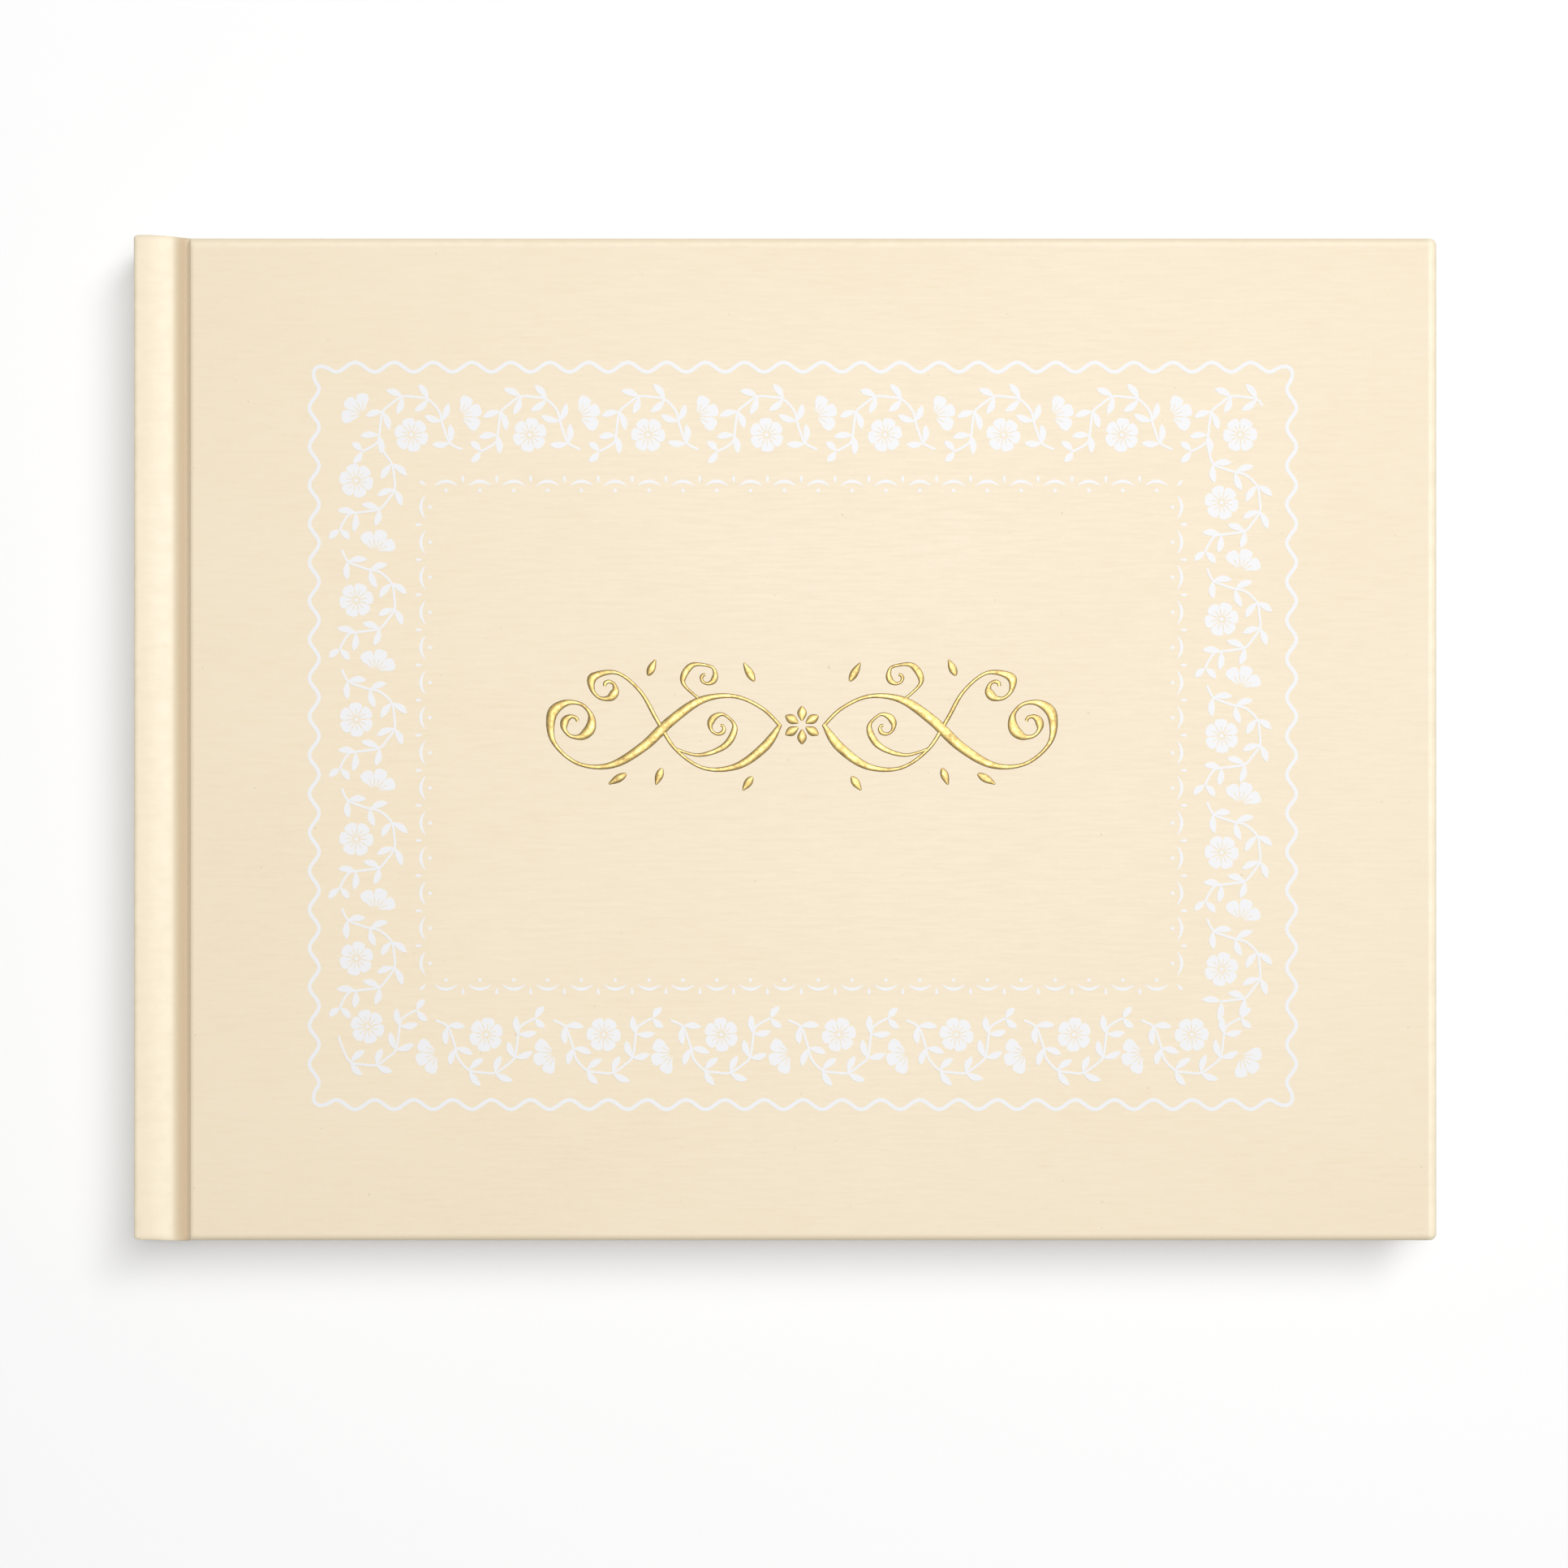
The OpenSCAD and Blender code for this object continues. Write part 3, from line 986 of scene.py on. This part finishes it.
def draw_wave(film):
    """A rounded rectangle whose sides wave, with one lobe at each corner."""
    (x0, y0), (x1, y1), r = WAVE_LOW, WAVE_HIGH, WAVE_CORNER
    x0, y0, x1, y1 = x0 + r, y0 + r, x1 - r, y1 - r
    centres = [Vector(centre) for centre in ((x1, y0), (x1, y1), (x0, y1), (x0, y0))]
    line = []
    for k, centre in enumerate(centres):
        for i in range(10):
            lobe = WAVE_AMPLITUDE * (0.25 - 1.25 * math.cos(2 * math.pi * i / 10))
            line.append(centre + (r + lobe) * toward((k - 1 + i / 10) * math.pi / 2))
        run = centres[(k + 1) % 4] - centre
        count = 10 * (WAVES_ACROSS if k % 2 else WAVES_UP)
        for i in range(count):
            reach = r - WAVE_AMPLITUDE * math.cos(2 * math.pi * i / 10)
            line.append(centre + run * (i / count) + reach * toward(k * math.pi / 2))
    film.ribbon(line, [WAVE_WIDTH] * len(line), closed=True)


# The inner border of small arcs
SCALLOP_LOW, SCALLOP_HIGH = (-77.6, -53.5), (84.5, 54.4)
SCALLOPS_ACROSS, SCALLOPS_UP, SCALLOP_INSET = 22, 14, 1.3
# An arc: its share of the pitch, its rise, and its width at the ends and in the middle
ARC_SHARE, ARC_RISE, ARC_THIN, ARC_THICK = 0.66, 0.95, 0.14, 0.7
DOT_R, DOT_DOWN = 0.4, 1.5
# A drop between two arcs: half its width, its length, its place outward, and its length at a corner
TICK_W, TICK_LONG, TICK_OUT, CORNER_TICK = 0.46, 1.5, 0.85, 1.7


def draw_scallop(film, spot, chord):
    """A tapering arc with a dot under it."""
    path = [(chord * (i / 10 - 0.5), ARC_RISE * (0.5 - (i / 5 - 1) ** 2)) for i in range(11)]
    widths = [ARC_THIN + (ARC_THICK - ARC_THIN) * math.sin(math.pi * i / 10) for i in range(11)]
    film.ribbon(spot.outline(path), widths)
    film.patch(spot.outline(dot(DOT_R, 10, DOT_DOWN)))


def draw_tick(film, spot, length=TICK_LONG):
    """A drop that points inward."""
    turns = [(math.sin(a), math.cos(a)) for a in ring_angles(14)]
    film.patch(spot.outline([(TICK_W * t * (0.62 + 0.38 * n), length / 2 * n) for t, n in turns]))


def draw_scallops(film):
    """Arcs along all four sides, with a drop between every two and at the corners."""
    (x0, y0), (x1, y1) = SCALLOP_LOW, SCALLOP_HIGH
    for arch, edge in ((UP, y1), (DOWN, y0), (LEFT, x0), (RIGHT, x1)):
        across = arch in (UP, DOWN)
        along, count = (RIGHT, SCALLOPS_ACROSS) if across else (UP, SCALLOPS_UP)
        start, end = (x0, x1) if across else (y0, y1)
        pitch = (end - start - 2 * SCALLOP_INSET) / count
        for k in range(count):
            place = start + SCALLOP_INSET + pitch * (k + 0.5)
            spot = Spot((place, edge) if across else (edge, place), along, arch)
            draw_scallop(film, spot, pitch * ARC_SHARE)
            if k:
                draw_tick(film, Spot(spot.at(-pitch / 2, TICK_OUT), along, arch))
    slant = math.sqrt(0.5)
    for x, sx in ((x0, -1), (x1, 1)):
        for y, sy in ((y0, -1), (y1, 1)):
            arch = (sx * slant, sy * slant)
            draw_tick(film, Spot((x, y), (-arch[1], arch[0]), arch), CORNER_TICK)


def border_pieces():
    """The whole printed border, as three films of ink."""
    for name, draw in (("flowers", draw_border), ("wave", draw_wave), ("arcs", draw_scallops)):
        film = Print()
        draw(film)
        film.piece(f"border_{name}")


# Foil ornament

FOIL_MIDDLE = (3.6, 2.6)
# Height of the foil's edge, its underside, and its rim's width and height
FOIL_T, FOIL_ROOT, RIM_W, RIM_T = 0.05, -0.02, 0.13, 0.012
# A stroke's face swells with its width, up to a limit
DOME, DOME_LIMIT = 0.1, 1.1
# Slant of the pen, and the lengths over which a stroke begins and ends
PEN_ANGLE, PEN_IN, PEN_OUT = math.radians(-58), 6, 8
# How far each stroke lies over the one before
STROKE_LIFT = 0.012


def scroll(points, centre, end_radius, turns, hand):
    """The points, and more that wind on round a centre, inward, from the last of them."""
    away = Vector(points[-1]) - Vector(centre)
    start, radius = math.atan2(away.y, away.x), away.length
    count = round(turns * 8)
    wound = list(points)
    for i in range(1, count + 1):
        s = i / count
        a = start + hand * 2 * math.pi * turns * s
        r = radius + (end_radius - radius) * s
        wound.append(Vector(centre) + r * toward(a))
    return wound


def pen_widths(line, thin, thick):
    """Widths of a broad pen's stroke: thick along the pen's slant, thin across it and at both ends."""
    run = [0.0]
    for a, b in zip(line, line[1:]):
        run.append(run[-1] + math.dist(a, b))
    widths = []
    for i, length in enumerate(run):
        slant = abs(tangent(line, i).dot(toward(PEN_ANGLE))) ** 3
        fade = min(1.0, length / PEN_IN, (run[-1] - length) / PEN_OUT)
        widths.append(thin + (thick - thin) * slant * math.sin(math.pi / 2 * fade))
    for _ in range(6):
        ends = [widths[0], *widths, widths[-1]]
        widths = [(a + 2 * b + c) / 4 for a, b, c in zip(ends, ends[1:], ends[2:])]
    return widths


def drop(start, angle, length, width, peak=0.8):
    """A straight stroke that swells like a leaf."""
    shares = [i / 16 for i in range(17)]
    line = [Vector(start) + s * length * toward(math.radians(angle)) for s in shares]
    return line, [0.08 + width * math.sin(math.pi * s**peak) for s in shares]


class Foil:
    """Collects pen strokes: a rounded face with a rim on each side, coloured dark as painted shade."""

    def __init__(self):
        self.verts, self.faces, self.indices = [], [], []

    def stroke(self, line, widths, lift=0.0):
        base, n = len(self.verts), len(line)
        for i, (x, y) in enumerate(line):
            along = tangent(line, i)
            w = widths[i] / 2
            crown = FOIL_T + DOME * min(w, DOME_LIMIT)
            section = [(-w - RIM_W, FOIL_ROOT), (-w - RIM_W, RIM_T), (-w, FOIL_T), (-w * 0.6, crown * 0.93)]
            section += [(0, crown)] + [(-offset, height) for offset, height in reversed(section)]
            for offset, height in section:
                place = (x - offset * along.y, y + offset * along.x)
                self.verts.append(on_face(*place, height + (lift if height > 0 else 0)))
        k = len(section)
        self.faces += moved(tube_faces(n, k), base)
        # The rim's faces take the dark material, which is painted shade
        self.indices += [0 if 2 <= j <= 5 else 1 for _ in range(n - 1) for j in range(k)] + [1, 1]

    def piece(self, name):
        films = [FOIL, FOIL_RIM_SHADE]
        made = make_piece(name, self.verts, self.faces, films, sharp=25, indices=self.indices)
        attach(made, "front_cover")


# Strokes of the ornament's right half, from its middle outward: points, then the centre, last radius,
# turns and hand of the scroll that ends it, and the thin and thick width
STROKES = [
    ([(27.3, -5.0), (22, -6.4), (16.5, -4.4), (14.4, -0.4), (16.6, 2.2)],
     ((17.6, -0.4), 0.4, 1.0, -1), (0.35, 1.3)),
    ([(21.8, 5.4), (25.5, 9.2), (23.6, 12.8), (19.6, 12.6)],
     ((20.6, 10.4), 0.4, 0.9, 1), (0.35, 1.3)),
    ([(4.6, 0.2), (8, -4.6), (14, -8.8), (21, -9.2), (27, -5.2), (31, 1), (34.6, 7.2), (39.6, 11.2),
      (44.6, 10.4)], ((41.8, 8.2), 0.5, 1.05, -1), (0.45, 1.95)),
    ([(4.6, -0.2), (8.5, 3.6), (14.5, 6.2), (21.5, 5.4), (28, 1), (34, -4.6), (41, -8.6), (48, -8.2),
      (53.2, -3.6), (53.6, 2.2)], ((48.8, 0.4), 0.9, 1.35, 1), (0.5, 2.15)),
]
# Loose leaves of the right half: start, angle and length
DROPS = [((10.2, 9.4), 60, 4.6), ((37.6, -10.4), -30, 4.4), ((33, 10.6), 115, 3.8), ((30, -9.2), -70, 3.8),
         ((10.6, -11), -55, 3.6)]
DROP_W = 1.4
# Petals of the flower in the middle: their root's distance, length, width and shape
PETAL_ROOT, PETAL_LONG, PETAL_W, PETAL_PEAK = 0.9, 3.2, 1.7, 1.1


def ornament_piece():
    """A symmetrical pen flourish, which stands where the photographed book has words."""
    foil = Foil()
    middle = Vector(FOIL_MIDDLE)
    for mirror in (1, -1):
        sides = Vector((mirror, 1))
        for k, (points, end, widths) in enumerate(STROKES):
            line = spline(scroll(points, *end), 10)
            placed = [middle + sides * Vector(point) for point in line]
            foil.stroke(placed, pen_widths(line, *widths), STROKE_LIFT * k)
        for start, angle, length in DROPS:
            line, widths = drop(start, angle, length, DROP_W)
            foil.stroke([middle + sides * point for point in line], widths)
    for k in range(6):
        angle = 60 * k + 30
        root = middle + PETAL_ROOT * toward(math.radians(angle))
        foil.stroke(*drop(root, angle, PETAL_LONG, PETAL_W, PETAL_PEAK))
    foil.piece("foil_ornament")


# Assembly


def finish_hidden_nodes():
    """Gives the CAD pieces that stay their materials."""
    for node, material in {
        "spine_board": GREYBOARD, "spine_lining": KRAFT, "mull": GAUZE, "sewing_thread": THREAD,
        "front_mull_flap": GAUZE, "back_mull_flap": GAUZE,
    }.items():
        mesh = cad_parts[node].data
        mesh.materials.clear()
        mesh.materials.append(material)


def build_book():
    """Every piece. The pages come before the border, which keeps the random draws in order."""
    for side in ("front", "back"):
        cover_piece(side)
        board_piece(side)
        pastedown_piece(side)
    spine_piece()
    flyleaf_piece("front", "front_endleaf")
    flyleaf_piece("back", "book_block")
    for name in SECTIONS:
        section_piece(name, "first_section" if name == SECTIONS[0] else "book_block")
    headband_piece("head")
    headband_piece("tail")
    border_pieces()
    ornament_piece()
    finish_hidden_nodes()


# Stage


# Square lights: place and side in metres, and power
LIGHTS = {
    "softbox": ((0.33, 0.36, 2.1), 0.95, 18.5),
    "side_softbox": ((1.0, 1.05, 2.1), 0.85, 18.5),
    "overhead": ((0.02, 0.04, 2.2), 0.3, 19.6),
}
WORLD_STRENGTH = 0.233
# Half the floor's width, and how far it lies under the book
FLOOR_HALF, FLOOR_DROP = 3.0, 0.0001
# Camera: focal length, sensor, width of the view at the book's cover, and place over the book
LENS, SENSOR = 100, 36
VIEW_WIDTH = 335.98
CAMERA_X, CAMERA_Y = -0.25, -10.0


def area_light(name, place, size, watts):
    """A square light that points at the book."""
    data = bpy.data.lights.new(name, "AREA")
    data.shape = "RECTANGLE"
    data.size = data.size_y = size
    data.energy = watts
    lamp = new_object(name, data)
    lamp.location = place
    lamp.rotation_euler = (-Vector(place)).to_track_quat("-Z", "Y").to_euler()


def build_floor():
    mesh = bpy.data.meshes.new("floor")
    corners = [(FLOOR_HALF * x, FLOOR_HALF * y, 0) for x, y in ((-1, -1), (1, -1), (1, 1), (-1, 1))]
    mesh.from_pydata(corners, [], [(0, 1, 2, 3)])
    mesh.materials.append(floor_material())
    floor = new_object("floor", mesh)
    floor.location.z = -FLOOR_DROP


def build_stage():
    """A pale floor, three soft lights and an even white surround."""
    build_floor()
    for name, (place, size, watts) in LIGHTS.items():
        area_light(name, place, size, watts)
    world = bpy.data.worlds.new("studio")
    world.use_nodes = True
    background = world.node_tree.nodes["Background"]
    background.inputs["Color"].default_value = (1.0, 1.0, 1.0, 1.0)
    background.inputs["Strength"].default_value = WORLD_STRENGTH
    bpy.context.scene.world = world
    bpy.context.scene.view_settings.view_transform = "Standard"


def build_camera():
    """Straight above the book, a little towards the tail, so that the book stands high in the view."""
    data = bpy.data.cameras.new("camera")
    data.lens, data.sensor_width = LENS, SENSOR
    camera = new_object("camera", data)
    camera.location = (CAMERA_X * MM, CAMERA_Y * MM, (BOOK_T + VIEW_WIDTH * LENS / SENSOR) * MM)
    bpy.context.scene.camera = camera


build_camera()
build_stage()
build_book()
